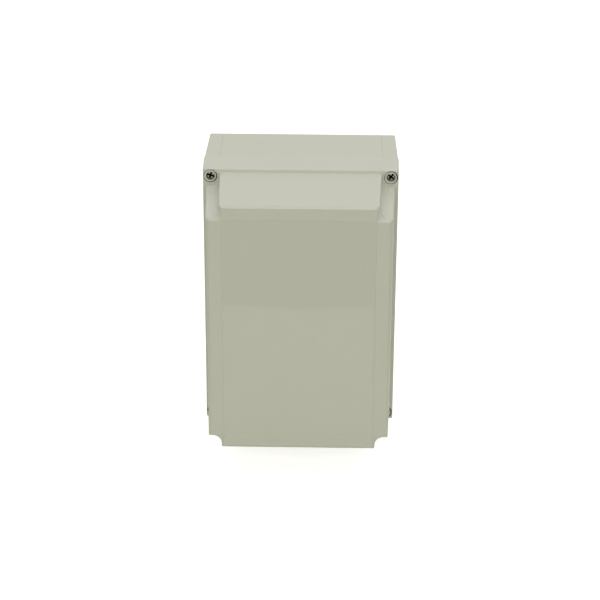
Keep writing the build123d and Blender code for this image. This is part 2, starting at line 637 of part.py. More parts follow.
def spd_base():
    x = SPD_POLES[1]
    body = device_body(x, SPD_WIDTH, UPPER_ROW, SHOULDER)
    body -= block((x - SPD_WIDTH, x + SPD_WIDTH), (SPD_SEAT, NOSE + 1),
                  (UPPER_ROW - SPD_HALF, UPPER_ROW + SPD_HALF))
    for pole in SPD_POLES:
        for end in (-1, 1):
            z = UPPER_ROW + end * 14.0
            body -= block((pole - 3.2, pole + 3.2), (SPD_SEAT - 10, SPD_SEAT + 1), (z - 1.2, z + 1.2))
    return cut_terminals(body, SPD_POLES, UPPER_ROW)


def spd_module(index):
    """Pull-out module with two contact blades behind and a status window in front."""
    x = SPD_POLES[index]
    half = 24.2
    points = [
        (SPD_SEAT + BODY_GAP, -half), (NOSE - 6, -half), (NOSE, -half + 3),
        (NOSE, half - 3), (NOSE - 6, half), (SPD_SEAT + BODY_GAP, half),
    ]
    module = profile(points, x, 17.2, UPPER_ROW)
    for end in (-1, 1):
        z = UPPER_ROW + end * 14.0
        module += block((x - 2.6, x + 2.6), (SPD_SEAT - 9, SPD_SEAT + 1), (z - 0.6, z + 0.6))
        for step in (0, 2.2, 4.4):
            grip = sorted((UPPER_ROW + end * (half - 0.9), UPPER_ROW + end * (half + 1)))
            module -= block((x - 6, x + 6), (62 + step, 63.1 + step), grip)
    module -= block((x - 3, x + 3), (NOSE - 0.8, NOSE + 1), (UPPER_ROW + 6, UPPER_ROW + 10))
    return module


def earth_terminal(index):
    x = EARTH_X[index]
    points = [(DEVICE_BACK, -26.0), (46.0, -26.0), (54.0, -20.0),
              (54.0, 20.0), (46.0, 26.0), (DEVICE_BACK, 26.0)]
    body = profile(points, x, EARTH_WIDTH, LOWER_ROW) - rail_pocket(x, EARTH_WIDTH, LOWER_ROW)
    return cut_terminals(body, [x], LOWER_ROW, 14.5, 16.0, 26.0)


def comb_busbar(poles):
    """Insulated comb that joins two fuse holders, with a crimp barrel above each blade."""
    bar_z = LOWER_ROW + HALF_HEIGHT + 2.0
    bar = block((poles[0] - 4.5, poles[1] + 4.5), (WIRE_DEPTH - 4, WIRE_DEPTH + 4), (bar_z, bar_z + 3.2))
    for x in poles:
        bar += block((x - 2.0, x + 2.0), (WIRE_DEPTH - 0.9, WIRE_DEPTH + 0.9),
                     (LOWER_ROW + WIRE_HOLE_END, bar_z + 1))
        bar += rod_up(x, WIRE_DEPTH, 3.4, (bar_z + 3, bar_z + 11.0))
        bar -= rod_up(x, WIRE_DEPTH, WIRE_RADIUS + 0.1, (bar_z + 5.5, bar_z + 12.0))
    return bar


# ---- internal leads --------------------------------------------------------------------------------
BARREL_FLOOR = LOWER_ROW + HALF_HEIGHT + 7.5
BREAKER_ENTRY = UPPER_ROW - WIRE_HOLE_END


def short_lead(x):
    """Lead from a comb's barrel to the breaker pole above it."""
    d = WIRE_DEPTH
    points = [(x, d, BARREL_FLOOR), (x, d, 11.5), (x, d + 5, 19.0), (x, d, 26.5), (x, d, BREAKER_ENTRY)]
    return tube(points, WIRE_RADIUS)


def positive_leads():
    start, end, d = BREAKER_POLES[1], SPD_POLES[0], WIRE_DEPTH
    points = [(start, d, BARREL_FLOOR), (start, d, 12.0), (start + 7, d + 13, 21.0),
              (end - 7, d + 13, 21.0), (end, d, 23.0), (end, d, BREAKER_ENTRY)]
    return group([short_lead(BREAKER_POLES[0]), tube(points, WIRE_RADIUS)])


def negative_leads():
    start, end, d = BREAKER_POLES[2], SPD_POLES[2], WIRE_DEPTH
    points = [(start, d, BARREL_FLOOR), (start, d, 12.0), (start + 7, d + 13, 12.0),
              (end - 7, d + 13, 12.0), (end, d, 19.0), (end, d, BREAKER_ENTRY)]
    return group([short_lead(BREAKER_POLES[3]), tube(points, WIRE_RADIUS)])


def earth_lead():
    x, end, d = SPD_POLES[1], EARTH_X[0], WIRE_DEPTH
    points = [(x, d, BREAKER_ENTRY), (x, d, 20.0), (x - 1, d - 4, 3.0),
              (end, d, -14.0), (end, d, LOWER_ROW + 16.0)]
    return tube(points, WIRE_RADIUS)


def series_links():
    """Leads that put two breaker poles in series for each polarity."""
    low, high, d = UPPER_ROW + WIRE_HOLE_END, UPPER_ROW + HALF_HEIGHT + 8.5, WIRE_DEPTH
    return group([tube([(left, d, low), (left, d, high), (right, d, high), (right, d, low)], WIRE_RADIUS)
                  for left, right in (BREAKER_POLES[:2], BREAKER_POLES[2:])])


# ---- glands ----------------------------------------------------------------------------------------
def gland_washers():
    washers = []
    for x, depth, (thread, flats, _) in GLANDS:
        washer = rod_up(x, depth, flats / 2 + 1, (SPOT_FACE_Z - GLAND_WASHER, SPOT_FACE_Z))
        washers.append(washer - rod_up(x, depth, thread + 0.1, (SPOT_FACE_Z - 3, SPOT_FACE_Z + 1)))
    return group(washers)


def gland_bodies():
    bodies = []
    for x, depth, (thread, flats, _) in GLANDS:
        hex_top = SPOT_FACE_Z - GLAND_WASHER
        hex_low = hex_top - GLAND_HEX
        body = hexagon_up(x, depth, flats, (hex_low, hex_top))
        body += rod_up(x, depth, thread, (hex_low, WALL_INNER_Z + GLAND_INSIDE))
        body += rod_up(x, depth, thread - 0.6, (hex_low - GLAND_CLAWS, hex_low))
        bodies.append(body - rod_up(x, depth, thread - 2.0, (hex_low - 20, 0)))
    return group(bodies)


def seal_span():
    """Height limits of every gland's rubber insert."""
    low = SPOT_FACE_Z - GLAND_WASHER - GLAND_HEX - GLAND_CLAWS - 1.0
    return (low, low + SEAL_LENGTH)


def gland_seals():
    low, high = seal_span()
    seals = []
    for x, depth, (thread, _, bore) in GLANDS:
        seal = rod_up(x, depth, thread - 2.1, (low, high))
        seals.append(seal - rod_up(x, depth, bore, (low - 1, high + 1)))
    return group(seals)


def gland_locknuts():
    nuts = []
    for x, depth, (thread, flats, _) in GLANDS:
        nut = hexagon_up(x, depth, flats, (WALL_INNER_Z, WALL_INNER_Z + LOCKNUT_HEIGHT))
        bore = rod_up(x, depth, thread + 0.05, (WALL_INNER_Z - 1, WALL_INNER_Z + LOCKNUT_HEIGHT + 1))
        nuts.append(nut - bore)
    return group(nuts)


def gland_nut(x, depth, size):
    """Dome nut: a hexagon that runs into a rounded nose with the cable mouth in it."""
    thread, flats, bore = size
    top = SPOT_FACE_Z - GLAND_WASHER - GLAND_HEX - BODY_GAP
    low = top - GLAND_NUT
    nut = hexagon_up(x, depth, flats, (top - GLAND_NUT_HEX, top))
    dome = Pos(x, -depth, low) * Cone(thread - 0.8, flats / 2, GLAND_NUT - GLAND_NUT_HEX, align=ON_BASE)
    nut += fillet(dome.edges().filter_by(GeomType.CIRCLE).sort_by(Axis.Z)[0], 1.5)
    seal_low = seal_span()[0]
    nut -= rod_up(x, depth, thread - 0.3, (seal_low - BODY_GAP, top + 1))
    return nut - rod_up(x, depth, bore + 1.2, (low - 1, top))


# ---- all nodes -------------------------------------------------------------------------------------
def build_nodes():
    nodes = {
        "enclosure_base": enclosure_base(),
        "enclosure_cover": enclosure_cover(),
        "cover_gasket": cover_gasket(),
        "screw_sleeves": screw_sleeves(),
        "threaded_inserts": threaded_inserts(),
        "mounting_plate": mounting_plate(),
        "plate_screws": plate_screws(),
        "din_rail_upper": din_rail(UPPER_ROW),
        "din_rail_lower": din_rail(LOWER_ROW),
        "rail_screws": rail_screws(),
        "rail_stops": rail_stops(),
        "fuse_clips": fuse_clips(),
        "fuse_terminal_screws": terminal_screws([module_x(index) for index in range(4)], LOWER_ROW),
        "breaker_body": breaker_body(),
        "breaker_toggle": breaker_toggle(),
        "breaker_terminal_screws": terminal_screws(BREAKER_POLES, UPPER_ROW),
        "spd_base": spd_base(),
        "spd_terminal_screws": terminal_screws(SPD_POLES, UPPER_ROW),
        "earth_terminal_screws": terminal_screws(EARTH_X, LOWER_ROW, 14.5),
        "comb_busbar_positive": comb_busbar(BREAKER_POLES[:2]),
        "comb_busbar_negative": comb_busbar(BREAKER_POLES[2:]),
        "positive_leads": positive_leads(),
        "negative_leads": negative_leads(),
        "earth_lead": earth_lead(),
        "series_links": series_links(),
        "gland_washers": gland_washers(),
        "gland_bodies": gland_bodies(),
        "gland_seals": gland_seals(),
        "gland_locknuts": gland_locknuts(),
    }
    for number, corner in enumerate(CORNERS, start=1):
        nodes[f"cover_screw_{number}"] = cover_screw(*corner)
    for index in range(4):
        nodes[f"fuse_base_{index + 1}"] = fuse_base(index)
        nodes[f"fuse_carrier_{index + 1}"] = fuse_carrier(index)
        nodes[f"fuse_link_{index + 1}"] = fuse_link(index)
    for index in range(3):
        nodes[f"spd_module_{index + 1}"] = spd_module(index)
    for index in range(2):
        nodes[f"earth_terminal_{index + 1}"] = earth_terminal(index)
    for number, gland in enumerate(GLANDS, start=1):
        nodes[f"gland_nut_{number}"] = gland_nut(*gland)
    return nodes


os.makedirs("parts", exist_ok=True)
for name, shape in build_nodes().items():
    export_step(shape, f"parts/{name}.step")
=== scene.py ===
"""Looks of a wall-mounted DC combiner box: finishes, added detail, lamps and camera."""

from __future__ import annotations

import json
import logging
import math
from collections.abc import Callable, Iterator
from contextlib import contextmanager
from dataclasses import dataclass
from enum import Enum

import bmesh
import bpy
from mathutils import Matrix, Vector

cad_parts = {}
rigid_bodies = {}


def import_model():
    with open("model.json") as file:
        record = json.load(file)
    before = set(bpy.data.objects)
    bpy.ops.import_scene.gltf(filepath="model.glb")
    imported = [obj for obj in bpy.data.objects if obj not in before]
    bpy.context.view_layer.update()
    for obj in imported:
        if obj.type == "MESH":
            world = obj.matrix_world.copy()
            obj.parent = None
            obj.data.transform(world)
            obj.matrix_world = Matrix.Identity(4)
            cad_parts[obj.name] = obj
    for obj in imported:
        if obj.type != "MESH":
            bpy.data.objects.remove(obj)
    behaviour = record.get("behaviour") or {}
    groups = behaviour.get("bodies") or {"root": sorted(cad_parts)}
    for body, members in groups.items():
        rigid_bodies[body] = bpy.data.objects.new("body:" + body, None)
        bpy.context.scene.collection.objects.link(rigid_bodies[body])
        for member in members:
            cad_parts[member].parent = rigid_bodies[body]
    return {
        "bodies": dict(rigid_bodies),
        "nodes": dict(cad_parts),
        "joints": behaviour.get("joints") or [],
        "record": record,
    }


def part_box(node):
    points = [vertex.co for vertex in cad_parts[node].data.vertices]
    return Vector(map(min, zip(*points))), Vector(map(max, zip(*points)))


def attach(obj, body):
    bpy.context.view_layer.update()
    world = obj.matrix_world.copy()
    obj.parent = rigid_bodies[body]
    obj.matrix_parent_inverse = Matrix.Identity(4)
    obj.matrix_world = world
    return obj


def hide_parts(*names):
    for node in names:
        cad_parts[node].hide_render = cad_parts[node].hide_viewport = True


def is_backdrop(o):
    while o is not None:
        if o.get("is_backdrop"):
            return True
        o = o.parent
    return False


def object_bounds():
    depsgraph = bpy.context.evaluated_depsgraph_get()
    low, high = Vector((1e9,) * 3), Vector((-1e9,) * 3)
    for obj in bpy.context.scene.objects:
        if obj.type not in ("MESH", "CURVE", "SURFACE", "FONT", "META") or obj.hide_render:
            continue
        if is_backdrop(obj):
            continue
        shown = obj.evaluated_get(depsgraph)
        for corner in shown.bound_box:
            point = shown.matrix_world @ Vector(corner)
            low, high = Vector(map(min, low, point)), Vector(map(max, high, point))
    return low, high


MM = 0.001
LOG = logging.getLogger("combiner_box")
Place = tuple[float, float, float]


# ---- colours and material nodes --------------------------------------------------------------------
def linear_colour(code: str) -> tuple[float, float, float, float]:
    """Turns an sRGB hex colour into linear red, green, blue and alpha.

    Args:
        code: six hex digits, such as "C6C7B8".

    Returns:
        The linear colour with an alpha of 1.
    """
    channels = []
    for start in (0, 2, 4):
        value = int(code[start:start + 2], 16) / 255
        channels.append(value / 12.92 if value <= 0.04045 else ((value + 0.055) / 1.055) ** 2.4)
    return (*channels, 1.0)


def add_node(tree: bpy.types.NodeTree, kind: str, settings: dict | None = None,
             inputs: dict | None = None) -> bpy.types.Node:
    """Adds one node with its settings and its linked or fixed inputs.

    Args:
        tree: the node tree to add to.
        kind: Blender's name of the node type.
        settings: attribute names and values.
        inputs: input names or numbers, each with a value or the socket that feeds it.

    Returns:
        The new node.
    """
    node = tree.nodes.new(kind)
    for name, value in (settings or {}).items():
        setattr(node, name, value)
    for name, value in (inputs or {}).items():
        if isinstance(value, bpy.types.NodeSocket):
            tree.links.new(value, node.inputs[name])
        else:
            node.inputs[name].default_value = value
    return node


def new_material(name: str) -> tuple[bpy.types.Material, bpy.types.NodeTree]:
    """Makes an empty node material.

    Args:
        name: what the finish is called in the workshop.

    Returns:
        The material and its cleared node tree.
    """
    material = bpy.data.materials.new(name)
    material.use_nodes = True
    material.node_tree.nodes.clear()
    return material, material.node_tree


def finish_surface(tree: bpy.types.NodeTree, shader: bpy.types.Node) -> None:
    """Feeds a shader to the material's output."""
    add_node(tree, "ShaderNodeOutputMaterial", inputs={"Surface": shader.outputs[0]})


def object_place(tree: bpy.types.NodeTree) -> bpy.types.NodeSocket:
    """Gives the socket with the place on the object, in metres."""
    return add_node(tree, "ShaderNodeTexCoord").outputs["Object"]


def dress(piece: bpy.types.Object, material: bpy.types.Material) -> None:
    """Puts a material into every slot of an object.

    Args:
        piece: the object to dress.
        material: its finish.
    """
    if not piece.data.materials:
        piece.data.materials.append(material)
    for number in range(len(piece.material_slots)):
        piece.material_slots[number].material = material


# ---- modelling by hand -----------------------------------------------------------------------------
def pick_alone(piece: bpy.types.Object) -> None:
    """Selects one object and makes it active, with nothing else selected.

    Args:
        piece: the object to select.
    """
    bpy.ops.object.select_all(action="DESELECT")
    piece.select_set(True)
    bpy.context.view_layer.objects.active = piece


@contextmanager
def editing(piece: bpy.types.Object) -> Iterator[None]:
    """Opens a piece in edit mode with nothing selected, and closes it again.

    Args:
        piece: the piece to edit.

    Yields:
        Nothing, while the piece is open.
    """
    pick_alone(piece)
    bpy.ops.object.mode_set(mode="EDIT")
    bpy.ops.mesh.select_all(action="DESELECT")
    yield
    bpy.ops.object.mode_set(mode="OBJECT")


def pick_faces(piece: bpy.types.Object, test: Callable[[Vector, Vector], bool]) -> None:
    """Selects the faces of a piece in edit mode that pass a test.

    Args:
        piece: the piece in edit mode.
        test: takes a face's middle and its normal.
    """
    bpy.ops.mesh.select_mode(type="FACE")
    mesh = bmesh.from_edit_mesh(piece.data)
    for face in mesh.faces:
        face.select_set(test(face.calc_center_median(), face.normal))
    bmesh.update_edit_mesh(piece.data)


def pick_edges(piece: bpy.types.Object, test: Callable[[Vector, Vector], bool]) -> None:
    """Selects the edges of a piece in edit mode that pass a test.

    Args:
        piece: the piece in edit mode.
        test: takes the places of an edge's two ends.
    """
    bpy.ops.mesh.select_mode(type="EDGE")
    mesh = bmesh.from_edit_mesh(piece.data)
    for edge in mesh.edges:
        edge.select_set(test(edge.verts[0].co, edge.verts[1].co))
    bmesh.update_edit_mesh(piece.data)


def settle(piece: bpy.types.Object) -> None:
    """Moves an object's place, turn and scale into its mesh."""
    pick_alone(piece)
    bpy.ops.object.transform_apply(location=True, rotation=True, scale=True)


def own_copy(piece: bpy.types.Object, name: str, move: Vector, turn: float = 0.0) -> bpy.types.Object:
    """Copies a piece with a mesh of its own and sets it down in its place.

    Args:
        piece: the model to copy, made round the origin.
        name: the copy's name.
        move: where the origin goes, in metres.
        turn: the turn about the Y axis, in radians.

    Returns:
        The copy.
    """
    twin = piece.copy()
    twin.data = piece.data.copy()
    twin.name = name
    bpy.context.scene.collection.objects.link(twin)
    twin.data.transform(Matrix.Translation(move) @ Matrix.Rotation(turn, 4, "Y"))
    return twin


def smooth(piece: bpy.types.Object, angle: float = 35.0) -> None:
    """Shades a piece smooth, apart from edges sharper than an angle in degrees."""
    pick_alone(piece)
    bpy.ops.object.shade_smooth_by_angle(angle=math.radians(angle))


def cut(piece: bpy.types.Object, cutter: bpy.types.Object) -> None:
    """Takes the cutter's shape out of a piece. The cut faces keep the cutter's material.

    Args:
        piece: the piece to cut.
        cutter: the shape to take out, which is gone afterwards.
    """
    pick_alone(piece)
    taken = piece.modifiers.new("cut", "BOOLEAN")
    taken.object = cutter
    taken.operation = "DIFFERENCE"
    taken.solver = "EXACT"
    taken.material_mode = "TRANSFER"
    bpy.ops.object.modifier_apply(modifier=taken.name)
    bpy.data.objects.remove(cutter)


def middle_of(node: str) -> tuple[Vector, Vector, Vector]:
    """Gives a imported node's middle, lowest and highest corner."""
    low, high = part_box(node)
    return (low + high) / 2, low, high


# ---- finishes --------------------------------------------------------------------------------------
class GrainRun(Enum):
    """Which way the fine lines of a rolled, drawn or turned metal run, as stretch along X, Y and Z."""

    EVEN = (1.0, 1.0, 1.0)
    ALONG_X = (0.05, 1.0, 1.0)


@dataclass(frozen=True)
class PolishedPanel:
    """The cover's panel, which the mould's polished steel leaves nearly glossy and slightly wavy.

    The waves are what a large flat moulding keeps as it cools: long, and only microns high.
    """

    half_width_mm: float = 68.4
    half_height_mm: float = 106.7
    behind_front_mm: float = 0.6
    gloss: float = 0.035
    slope: float = 0.0017
    wave_mm: float = 94.0
    ripple_mm: float = 30.0
    ripple_height_mm: float = 0.004

    def mask(self, tree: bpy.types.NodeTree, axes: bpy.types.Node) -> bpy.types.NodeSocket:
        """Gives 1 on the panel and 0 elsewhere.

        Args:
            tree: the material's node tree.
            axes: the node that splits the place into X, Y and Z.

        Returns:
            The socket with the mask.
        """
        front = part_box("enclosure_cover")[0].y + self.behind_front_mm * MM
        inside = add_node(tree, "ShaderNodeMath", {"operation": "LESS_THAN"},
                          {0: axes.outputs["Y"], 1: front}).outputs[0]
        for axis, half in (("X", self.half_width_mm), ("Z", self.half_height_mm)):
            reach = add_node(tree, "ShaderNodeMath", {"operation": "ABSOLUTE"}, {0: axes.outputs[axis]})
            within = add_node(tree, "ShaderNodeMath", {"operation": "LESS_THAN"},
                              {0: reach.outputs[0], 1: half * MM})
            inside = add_node(tree, "ShaderNodeMath", {"operation": "MULTIPLY"},
                              {0: inside, 1: within.outputs[0]}).outputs[0]
        return inside

    def waves(self, tree: bpy.types.NodeTree, axes: bpy.types.Node, place: bpy.types.NodeSocket,
              inside: bpy.types.NodeSocket, normal: bpy.types.NodeSocket) -> bpy.types.NodeSocket:
        """Lays the panel's long waves over a normal.

        Args:
            tree: the material's node tree.
            axes: the node that splits the place into X, Y and Z.
            place: the place on the object.
            inside: the panel's mask.
            normal: the normal so far.

        Returns:
            The socket with the wavy normal.
        """
        turns = 2 * math.pi / (self.wave_mm * MM)
        phase = add_node(tree, "ShaderNodeMath", {"operation": "MULTIPLY_ADD"},
                         {0: axes.outputs["X"], 1: turns, 2: math.pi})
        crest = add_node(tree, "ShaderNodeMath", {"operation": "COSINE"}, {0: phase.outputs[0]})
        rise = add_node(tree, "ShaderNodeMath", {"operation": "MULTIPLY"},
                        {0: axes.outputs["Z"], 1: self.slope})
        swell = add_node(tree, "ShaderNodeMath", {"operation": "MULTIPLY"},
                         {0: crest.outputs[0], 1: rise.outputs[0]})
        ripple = add_node(tree, "ShaderNodeTexNoise", inputs={"Vector": place, "Detail": 1.0,
                                                              "Scale": 1 / (self.ripple_mm * MM)})
        height = add_node(tree, "ShaderNodeMath", {"operation": "MULTIPLY_ADD"},
                          {0: ripple.outputs["Fac"], 1: self.ripple_height_mm * MM, 2: swell.outputs[0]})
        return add_node(tree, "ShaderNodeBump", inputs={"Strength": inside, "Distance": 1.0,
                                                        "Height": height.outputs[0],
                                                        "Normal": normal}).outputs["Normal"]


@dataclass(frozen=True)
class PartingLineShade:
    """Two fine grooves down each end of the base, where slides of its mould met, darkened with painted shade.
    """

    from_middle_mm: float = 75.4
    half_width_mm: float = 0.45
    from_centre_mm: float = 125.0
    # how dark the painted shade along the grooves is
    painted_shade: float = 0.06

    def mask(self, tree: bpy.types.NodeTree, axes: bpy.types.Node) -> bpy.types.NodeSocket:
        """Gives how much painted shade darkens a place, from 0 to 1.

        Args:
            tree: the material's node tree.
            axes: the node that splits the place into X, Y and Z.

        Returns:
            The socket with the amount.
        """
        reach = add_node(tree, "ShaderNodeMath", {"operation": "ABSOLUTE"}, {0: axes.outputs["X"]})
        on_line = add_node(tree, "ShaderNodeMath", {"operation": "COMPARE"},
                           {0: reach.outputs[0], 1: self.from_middle_mm * MM, 2: self.half_width_mm * MM})
        height = add_node(tree, "ShaderNodeMath", {"operation": "ABSOLUTE"}, {0: axes.outputs["Z"]})
        on_end = add_node(tree, "ShaderNodeMath", {"operation": "GREATER_THAN"},
                          {0: height.outputs[0], 1: self.from_centre_mm * MM})
        both = add_node(tree, "ShaderNodeMath", {"operation": "MULTIPLY"},
                        {0: on_line.outputs[0], 1: on_end.outputs[0]})
        return add_node(tree, "ShaderNodeMath", {"operation": "MULTIPLY"},
                        {0: both.outputs[0], 1: self.painted_shade}).outputs[0]


@dataclass(frozen=True)
class MouldedPolycarbonate:
    """Light grey polycarbonate of the enclosure, injection moulded.

    The mould's walls are spark eroded, so the faces are satin with a fine grain. The colour clouds a little
    where the melt flowed, and a rare speck of burnt resin shows. The grain is drawn coarser than the real
    one, which is too fine to show.
    """

    name: str
    colour: str
    cloud: str
    satin: float = 0.42
    satin_swing: float = 0.04
    grain_mm: float = 0.55
    grain_strength: float = 0.16
    grain_relief_mm: float = 0.05
    cloud_mm: float = 60.0
    speck: str = "8E8E7E"
    speck_mm: float = 0.5
    speck_spacing_mm: float = 24.0
    speck_cover: float = 0.6
    panel: PolishedPanel | None = None
    parting_shade: PartingLineShade | None = None
    burnt_spot_mm: Place | None = None
    burnt_spot_radius_mm: float = 0.9
    burnt_spot_cover: float = 0.28

    def make(self) -> bpy.types.Material:
        """Builds the material.

        Returns:
            The finished material.
        """
        material, tree = new_material(self.name)
        place = object_place(tree)
        flow = add_node(tree, "ShaderNodeTexNoise", inputs={"Vector": place, "Detail": 3.0,
                                                            "Scale": 1 / (self.cloud_mm * MM)})
        clouded = add_node(tree, "ShaderNodeMix", {"data_type": "RGBA"},
                           {"Factor": flow.outputs["Fac"], 6: linear_colour(self.colour),
                            7: linear_colour(self.cloud)})
        cells = add_node(tree, "ShaderNodeTexVoronoi", inputs={"Vector": place,
                                                               "Scale": 1 / (self.speck_spacing_mm * MM)})
        reach = self.speck_mm / self.speck_spacing_mm
        fleck = add_node(tree, "ShaderNodeMapRange", inputs={"Value": cells.outputs["Distance"],
                                                             "From Min": reach * 0.5, "From Max": reach,
                                                             "To Min": self.speck_cover, "To Max": 0.0})
        colour = add_node(tree, "ShaderNodeMix", {"data_type": "RGBA"},
                          {"Factor": fleck.outputs["Result"], 6: clouded.outputs[2],
                           7: linear_colour(self.speck)})
        grain = add_node(tree, "ShaderNodeTexNoise", inputs={"Vector": place, "Detail": 2.0,
                                                             "Scale": 1 / (self.grain_mm * MM)})
        axes = add_node(tree, "ShaderNodeSeparateXYZ", inputs={"Vector": place})
        # painted shade: darkens the base along its parting-line grooves, where shade falls
        if self.parting_shade is not None:
            colour = add_node(tree, "ShaderNodeMix", {"data_type": "RGBA"},
                              {"Factor": self.parting_shade.mask(tree, axes), 6: colour.outputs[2],
                               7: linear_colour("000000")})
        if self.burnt_spot_mm is not None:
            colour = self._spotted(tree, place, colour)
        rough = add_node(tree, "ShaderNodeMapRange",
                         inputs={"Value": grain.outputs["Fac"], "To Min": self.satin - self.satin_swing,
                                 "To Max": self.satin + self.satin_swing}).outputs["Result"]
        if self.panel is None:
            normal = self._grained(tree, grain, self.grain_strength)
        else:
            inside = self.panel.mask(tree, axes)
            rough = add_node(tree, "ShaderNodeMix", {"data_type": "FLOAT"},
                             {"Factor": inside, 2: rough, 3: self.panel.gloss}).outputs[0]
            grip = add_node(tree, "ShaderNodeMapRange",
                            inputs={"Value": inside, "To Min": self.grain_strength, "To Max": 0.0})
            normal = self._grained(tree, grain, grip.outputs["Result"])
            normal = self.panel.waves(tree, axes, place, inside, normal)
        shader = add_node(tree, "ShaderNodeBsdfPrincipled",
                          inputs={"Base Color": colour.outputs[2], "Roughness": rough, "IOR": 1.58,
                                  "Normal": normal})
        finish_surface(tree, shader)
        return material

    def _spotted(self, tree: bpy.types.NodeTree, place: bpy.types.NodeSocket,
                 colour: bpy.types.Node) -> bpy.types.Node:
        """Lays the one larger spot of burnt resin over the colour.

        Args:
            tree: the material's node tree.
            place: the place on the object.
            colour: the node that mixes the colour so far.

        Returns:
            The node that mixes the spotted colour.
        """
        spot = tuple(length * MM for length in self.burnt_spot_mm)
        away = add_node(tree, "ShaderNodeVectorMath", {"operation": "DISTANCE"}, {0: place, 1: spot})
        reach = self.burnt_spot_radius_mm * MM
        dark = add_node(tree, "ShaderNodeMapRange", inputs={"Value": away.outputs["Value"],
                                                            "From Min": reach * 0.4, "From Max": reach,
                                                            "To Min": self.burnt_spot_cover,
                                                            "To Max": 0.0})
        return add_node(tree, "ShaderNodeMix", {"data_type": "RGBA"},
                        {"Factor": dark.outputs["Result"], 6: colour.outputs[2],
                         7: linear_colour(self.speck)})

    def _grained(self, tree: bpy.types.NodeTree, grain: bpy.types.Node,
                 grip: bpy.types.NodeSocket | float) -> bpy.types.NodeSocket:
        """Gives the normal of the eroded grain.

        Args:
            tree: the material's node tree.
            grain: the node with the grain's pattern.
            grip: how strongly the grain shows, from 0 to 1, or the socket that says so.

        Returns:
            The socket with the normal.
        """
        return add_node(tree, "ShaderNodeBump",
                        inputs={"Strength": grip, "Distance": self.grain_relief_mm * MM,
                                "Height": grain.outputs["Fac"]}).outputs["Normal"]


@dataclass(frozen=True)
class MouldedPlastic:
    """Engineering plastic of the devices and fittings, such as nylon, with a fine moulded grain."""

    name: str
    colour: str
    roughness: float = 0.45
    grain_mm: float = 0.5
    grain_strength: float = 0.15
    grain_relief_mm: float = 0.05
    cloud_mm: float = 16.0
    cloud_shade: float = 0.9
    ior: float = 1.53

    def make(self) -> bpy.types.Material:
        """Builds the material.

        Returns:
            The finished material.
        """
        material, tree = new_material(self.name)
        place = object_place(tree)
        base = linear_colour(self.colour)
        darker = (*(channel * self.cloud_shade for channel in base[:3]), 1.0)
        cloud = add_node(tree, "ShaderNodeTexNoise", inputs={"Vector": place, "Detail": 4.0,
                                                             "Scale": 1 / (self.cloud_mm * MM)})
        colour = add_node(tree, "ShaderNodeMix", {"data_type": "RGBA"},
                          {"Factor": cloud.outputs["Fac"], 6: base, 7: darker})
        grain = add_node(tree, "ShaderNodeTexNoise", inputs={"Vector": place, "Detail": 2.0,
                                                             "Scale": 1 / (self.grain_mm * MM)})
        rough = add_node(tree, "ShaderNodeMapRange", inputs={"Value": cloud.outputs["Fac"],
                                                             "To Min": self.roughness - 0.05,
                                                             "To Max": self.roughness + 0.07})
        bump = add_node(tree, "ShaderNodeBump",
                        inputs={"Strength": self.grain_strength, "Distance": self.grain_relief_mm * MM,
                                "Height": grain.outputs["Fac"]})
        shader = add_node(tree, "ShaderNodeBsdfPrincipled",
                          inputs={"Base Color": colour.outputs[2], "Roughness": rough.outputs["Result"],
                                  "IOR": self.ior, "Normal": bump.outputs["Normal"]})
        finish_surface(tree, shader)
        return material


@dataclass(frozen=True)
class TwoColourInsulation:
    """PVC insulation of an earth lead: a yellow stripe runs along the green, as it leaves the extruder."""

    green: str = "2F8A3A"
    yellow: str = "E3C61F"
    stripe: float = -0.25
    grain_mm: float = 0.8
    grain_strength: float = 0.12
    grain_relief_mm: float = 0.05

    def make(self) -> bpy.types.Material:
        """Builds the material.

        Returns:
            The finished material.
        """
        material, tree = new_material("pvc_insulation_green_yellow")
        spots = add_node(tree, "ShaderNodeTexCoord")
        facing = add_node(tree, "ShaderNodeSeparateXYZ", inputs={"Vector": spots.outputs["Normal"]})
        front = add_node(tree, "ShaderNodeMath", {"operation": "LESS_THAN"},
                         {0: facing.outputs["Y"], 1: self.stripe})
        colour = add_node(tree, "ShaderNodeMix", {"data_type": "RGBA"},
                          {"Factor": front.outputs[0], 6: linear_colour(self.green),
                           7: linear_colour(self.yellow)})
        grain = add_node(tree, "ShaderNodeTexNoise", inputs={"Vector": spots.outputs["Object"], "Detail": 2.0,
                                                             "Scale": 1 / (self.grain_mm * MM)})
        rough = add_node(tree, "ShaderNodeMapRange", inputs={"Value": grain.outputs["Fac"],
                                                             "To Min": 0.3, "To Max": 0.42})
        bump = add_node(tree, "ShaderNodeBump",
                        inputs={"Strength": self.grain_strength, "Distance": self.grain_relief_mm * MM,
                                "Height": grain.outputs["Fac"]})
        shader = add_node(tree, "ShaderNodeBsdfPrincipled",
                          inputs={"Base Color": colour.outputs[2], "Roughness": rough.outputs["Result"],
                                  "IOR": 1.52, "Normal": bump.outputs["Normal"]})
        finish_surface(tree, shader)
        return material


